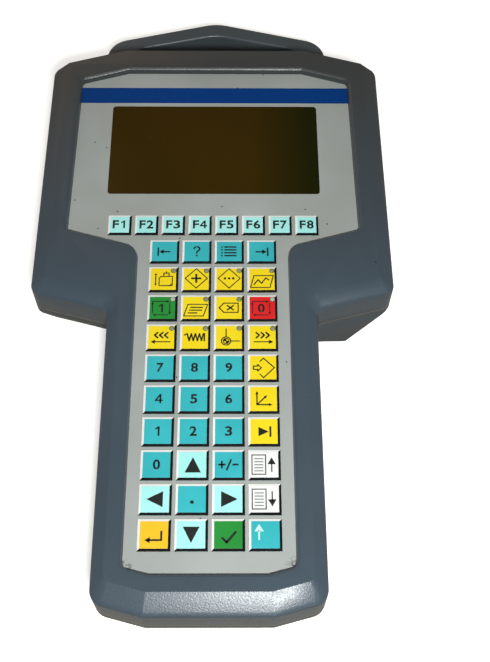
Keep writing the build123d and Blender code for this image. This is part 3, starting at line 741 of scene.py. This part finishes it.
# Wiping sign: a pointed tab with a cross in it
sign = begin_sign("key_clear_sign")
path([(-5.6, 0.0), (-3.0, 3.0), (5.2, 3.0), (5.2, -3.0), (-3.0, -3.0)], 0.4, closed=True)
stroke(-1.0, -1.5, 2.6, 1.5, 0.6)
stroke(-1.0, 1.5, 2.6, -1.5, 0.6)
lay_sign(sign, "key_clear", ink_black)

# Step keys: three chevrons over an arrow
for node, side in (("key_jog_minus", -1), ("key_jog_plus", 1)):
    sign = begin_sign(node + "_sign")
    for step in (-2.8, 0.0, 2.8):
        path([(step - side * 0.9, 3.0), (step + side * 0.9, 1.3), (step - side * 0.9, -0.4)], 0.7)
    stroke(-side * 5.0, -2.9, side * 4.6, -2.9, 0.4)
    path([(side * 3.6, -2.1), (side * 5.2, -2.9), (side * 3.6, -3.7)], 0.45)
    lay_sign(sign, node, ink_black)

# Zigzag
sign = begin_sign("key_spring_wave_sign")
zigzag = [(-5.6 + step * 1.15, 2.2 if step % 2 else -2.2) for step in range(9)]
path([(-6.0, 1.4)] + zigzag[1:] + [(4.6, 2.2)], 0.6)
stroke(5.2, 2.4, 5.2, -2.4, 0.6)
lay_sign(sign, "key_spring_wave", ink_black)

# Ring on two lines
sign = begin_sign("key_home_sign")
stroke(-1.6, 0.4, -1.6, 5.4, 0.4)
stroke(1.4, -2.4, 6.2, -2.4, 0.4)
ring(-1.6, -2.4, 2.9, 0.4)
ring(-1.6, -2.4, 1.9, 0.3)
disc(-2.2, -1.8, 0.8, 0.8)
disc(-1.0, -3.0, 0.8, 0.8)
lay_sign(sign, "key_home", ink_black)

# Arrow into an open diamond
sign = begin_sign("key_insert_sign")
path([(-1.8, 3.8), (0.2, 5.8), (6.2, 0.0), (0.2, -6.2), (-1.8, -4.0)], 0.4)
path([(-5.4, 0.9), (-3.0, 0.9), (-3.0, 1.9), (-1.0, -0.1), (-3.0, -2.1), (-3.0, -1.1), (-5.4, -1.1)],
     0.4, closed=True)
lay_sign(sign, "key_insert", ink_black)

# Axis cross
sign = begin_sign("key_axis_sign")
stroke(-3.6, -3.4, -3.6, 3.2, 0.5)
arrow_head(-3.6, 4.8, 90, 2.0, 1.8)
stroke(-3.6, -3.4, 3.2, -3.4, 0.5)
arrow_head(4.8, -3.4, 0, 2.0, 1.8)
stroke(-3.6, -3.4, 0.8, 1.0, 0.5)
arrow_head(2.0, 2.2, 45, 2.0, 1.8)
lay_sign(sign, "key_axis", ink_black)

# Step on to the next: triangle against a bar
sign = begin_sign("key_next_sign")
arrow_head(2.4, -0.2, 0, 5.4, 5.4)
stroke(3.4, -2.9, 3.4, 2.5, 0.8)
lay_sign(sign, "key_next", ink_black)

# Direction triangles
for node, tip, turn in (("key_up", (0.2, 4.2), 90), ("key_down", (0.0, -4.4), -90),
                        ("key_left", (-4.6, 0.0), 180), ("key_right", (4.8, 0.0), 0)):
    sign = begin_sign(node + "_sign")
    arrow_head(tip[0], tip[1], turn, 8.6, 8.6)
    lay_sign(sign, node, ink_black)

# Plus and minus with a stroke between
sign = begin_sign("key_sign_sign")
stroke(-5.2, 0.0, -1.8, 0.0, 0.75)
stroke(-3.5, -1.8, -3.5, 1.8, 0.75)
stroke(-1.0, -3.0, 1.4, 2.8, 0.7)
stroke(2.4, 0.0, 5.0, 0.0, 0.75)
lay_sign(sign, "key_sign", ink_black)

# Decimal point
sign = begin_sign("key_point_sign")
disc(0.1, -1.6, 1.0, 0.95)
lay_sign(sign, "key_point", ink_black)

# Pages with an arrow
for node, way in (("key_page_up", 1), ("key_page_down", -1)):
    sign = begin_sign(node + "_frame")
    path([(-6.6, -5.4), (-6.6, 5.4), (0.6, 5.4), (0.6, -5.4)], 0.3, closed=True)
    lay_sign(sign, node, ink_black)
    sign = begin_sign(node + "_lines")
    for line in range(5):
        stroke(-5.2, 3.3 - line * 1.7, -0.8, 3.3 - line * 1.7, 0.3)
    lay_sign(sign, node, ink_grey)
    sign = begin_sign(node + "_arrow")
    arrow_head(3.8, way * 4.0, way * 90, 3.8, 4.4)
    stroke(3.8, way * 1.0, 3.8, -way * 4.0, 0.4)
    lay_sign(sign, node, ink_black)

# Back, accept and shift
sign = begin_sign("key_escape_sign")
path([(3.8, 1.8), (3.8, -2.8), (-3.0, -2.8)], 0.8)
arrow_head(-4.8, -2.8, 180, 2.8, 3.2)
lay_sign(sign, "key_escape", ink_black)
sign = begin_sign("key_accept_sign")
path([(-3.0, -1.8), (-0.8, -4.0), (3.8, 1.4)], 1.0)
lay_sign(sign, "key_accept", ink_black)
sign = begin_sign("key_shift_sign")
arrow_head(-3.2, 5.6, 90, 3.9, 4.8)
stroke(-3.2, 2.0, -3.2, -2.6, 0.6)
lay_sign(sign, "key_shift", ink_pale)


# Status lamp in a key's corner: a low clear dome standing in a black ring, which is painted shade round
# the dome's foot
LAMP_RADIUS = 1.55
LAMP_X, LAMP_Y = 5.8, 5.6


def lamp_form():
    deselect_all()
    bpy.ops.mesh.primitive_circle_add(vertices=28, radius=LAMP_RADIUS * MM, fill_type="NGON",
                                      location=(0, 0, 0))
    piece = bpy.context.object
    piece.name = "lamp_form"
    bpy.ops.object.mode_set(mode="EDIT")
    bpy.ops.mesh.select_all(action="SELECT")
    now = (1.0, 1.0)
    # rise of each step in millimetres, and its width as a share of the ring's
    for rise, size in ((0.14, 1.0), (0.0, 0.88), (0.16, 0.86), (0.16, 0.74), (0.12, 0.50), (0.04, 0.20)):
        draw_out(rise, now, (size, size))
        now = (size, size)
    bpy.ops.object.mode_set(mode="OBJECT")
    piece.data.materials.append(lamp_lens)
    # painted shade: the ring round the dome's foot is black
    piece.data.materials.append(edge_black_and_lamp_shade)
    for face in piece.data.polygons:
        face.material_index = 1 if face.center.z / MM < 0.145 else 0
    make_active(piece)
    bpy.ops.object.shade_smooth_by_angle(angle=math.radians(50))
    return piece


lens = lamp_form()
for row in (1, 2, 3):
    for name in key_names[row]:
        node = "key_" + name
        x, y = key_place[node]
        piece = copy_form(lens, node + "_lamp", x + LAMP_X, y + LAMP_Y, KEY_TOP - 0.02)
        if name in ("auto_cycle", "stop_cycle"):
            piece.data.materials[0] = lamp_lens_pale
        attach(piece, node)
bpy.data.objects.remove(lens)

# How much of the pale surroundings the object's glossy skins mirror
MIRRORED_SHARE = 0.15


# One to the camera and through glass, the mirrored share in a gloss, nothing as light
def seen_surroundings(tree):
    rays = add_node(tree, "ShaderNodeLightPath")
    mirrored = add_node(tree, "ShaderNodeMath", {"operation": "MULTIPLY_ADD"}, {1: MIRRORED_SHARE},
                        {0: rays.outputs["Is Glossy Ray"], 2: rays.outputs["Is Camera Ray"]})
    seen = add_node(tree, "ShaderNodeMath", {"operation": "ADD", "use_clamp": True}, None,
                    {0: mirrored.outputs[0], 1: rays.outputs["Is Transmission Ray"]})
    return seen.outputs[0]


# Floor: pale, white to the camera, still taking the object's shadow
deselect_all()
bpy.ops.mesh.primitive_plane_add(size=8, location=(0, 0, -0.0004))
floor = bpy.context.object
floor.name = "floor"
floor_material = bpy.data.materials.new("painted_board_white")
floor_material.use_nodes = True
floor_tree = floor_material.node_tree
floor_shader = floor_tree.nodes["Principled BSDF"]
floor_shader.inputs["Roughness"].default_value = 0.9
# the camera sees a pale floor with the shadow on it, the object's sides see a dull brown one
floor_seen = seen_surroundings(floor_tree)
floor_tone = add_node(floor_tree, "ShaderNodeMix", COLOUR_MIX,
                      {UNDER: colour("#94836c"), OVER: colour("#f4f4f2")}, {SHARE: floor_seen})
floor_tree.links.new(floor_tone.outputs[MIXED], floor_shader.inputs["Base Color"])
floor_tree.links.new(floor_seen, floor_shader.inputs["Emission Strength"])
floor_shader.inputs["Emission Color"].default_value = (0.60, 0.60, 0.59, 1.0)
floor_shader.inputs["Specular IOR Level"].default_value = 0.0
floor.data.materials.append(floor_material)


# A soft lamp with its face to the target. One that isn't mirrored leaves no streak in a gloss
def soft_lamp(name, place, target, size, power, tint, mirrored=True):
    deselect_all()
    bpy.ops.object.light_add(type="AREA", location=place)
    lamp = bpy.context.object
    lamp.name = name
    lamp.data.shape = "RECTANGLE"
    lamp.data.size, lamp.data.size_y = size
    lamp.data.energy = power
    lamp.data.color = tint
    lamp.visible_camera = False
    lamp.visible_glossy = mirrored
    lamp.rotation_euler = (Vector(target) - Vector(place)).to_track_quat("-Z", "Y").to_euler()


# A small panel over the foot end, as a lamp held by the camera, and two weak warm ones behind
soft_lamp("key_light", (0.088, -0.51, 0.675), (0, -0.05, 0.04), (0.11, 0.08), 5.9, (0.97, 1.0, 1.0))
soft_lamp("warm_back", (-0.50, 0.90, 0.50), (-0.03, 0.12, 0.03), (0.8, 0.4), 0.6, (1.0, 0.6, 0.35))
soft_lamp("left_sheen", (-0.28, 0.75, 1.0), (-0.05, 0.05, 0.04), (0.15, 0.15), 0.15, (1.0, 0.85, 0.7))
# Low lamps that light the upright walls and hardly reach the panel
soft_lamp("left_fill", (-1.2, 0.0, 0.17), (0, 0, 0.03), (0.9, 0.24), 3.4, (0.97, 0.98, 1.0),
          mirrored=False)
soft_lamp("right_fill", (1.2, 0.0, 0.17), (0, 0, 0.03), (0.9, 0.24), 2.4, (0.97, 0.98, 1.0),
          mirrored=False)
soft_lamp("back_fill", (0, 1.3, 0.17), (0, 0.1, 0.03), (0.9, 0.24), 4.6, (1.0, 0.98, 0.95),
          mirrored=False)

# The room: a faint warm light on the object, a pale wall to the camera and in a gloss
ROOM_LEVEL = 0.12
world = bpy.context.scene.world or bpy.data.worlds.new("room")
bpy.context.scene.world = world
world.use_nodes = True
room = world.node_tree
room_seen = seen_surroundings(room)
tint = add_node(room, "ShaderNodeMix", COLOUR_MIX,
                {UNDER: (1.0, 0.93, 0.85, 1.0), OVER: colour("#f4f4f2")}, {SHARE: room_seen})
level = add_node(room, "ShaderNodeMapRange", values={"To Min": ROOM_LEVEL, "To Max": 1.0},
                 links={"Value": room_seen})
room.links.new(tint.outputs[MIXED], room.nodes["Background"].inputs["Color"])
room.links.new(level.outputs[0], room.nodes["Background"].inputs["Strength"])

# Camera at the photograph's angle
deselect_all()
bpy.ops.object.camera_add(location=(0.012741, -0.326254, 0.568711))
camera = bpy.context.object
camera.name = "camera"
camera.rotation_euler = [math.radians(turn) for turn in (28.12458, -0.50381, -0.24676)]
camera.data.sensor_width = 36.0
camera.data.lens = 57.3060
camera.data.clip_start = 0.01
bpy.context.scene.camera = camera
bpy.context.scene.view_settings.view_transform = "Standard"
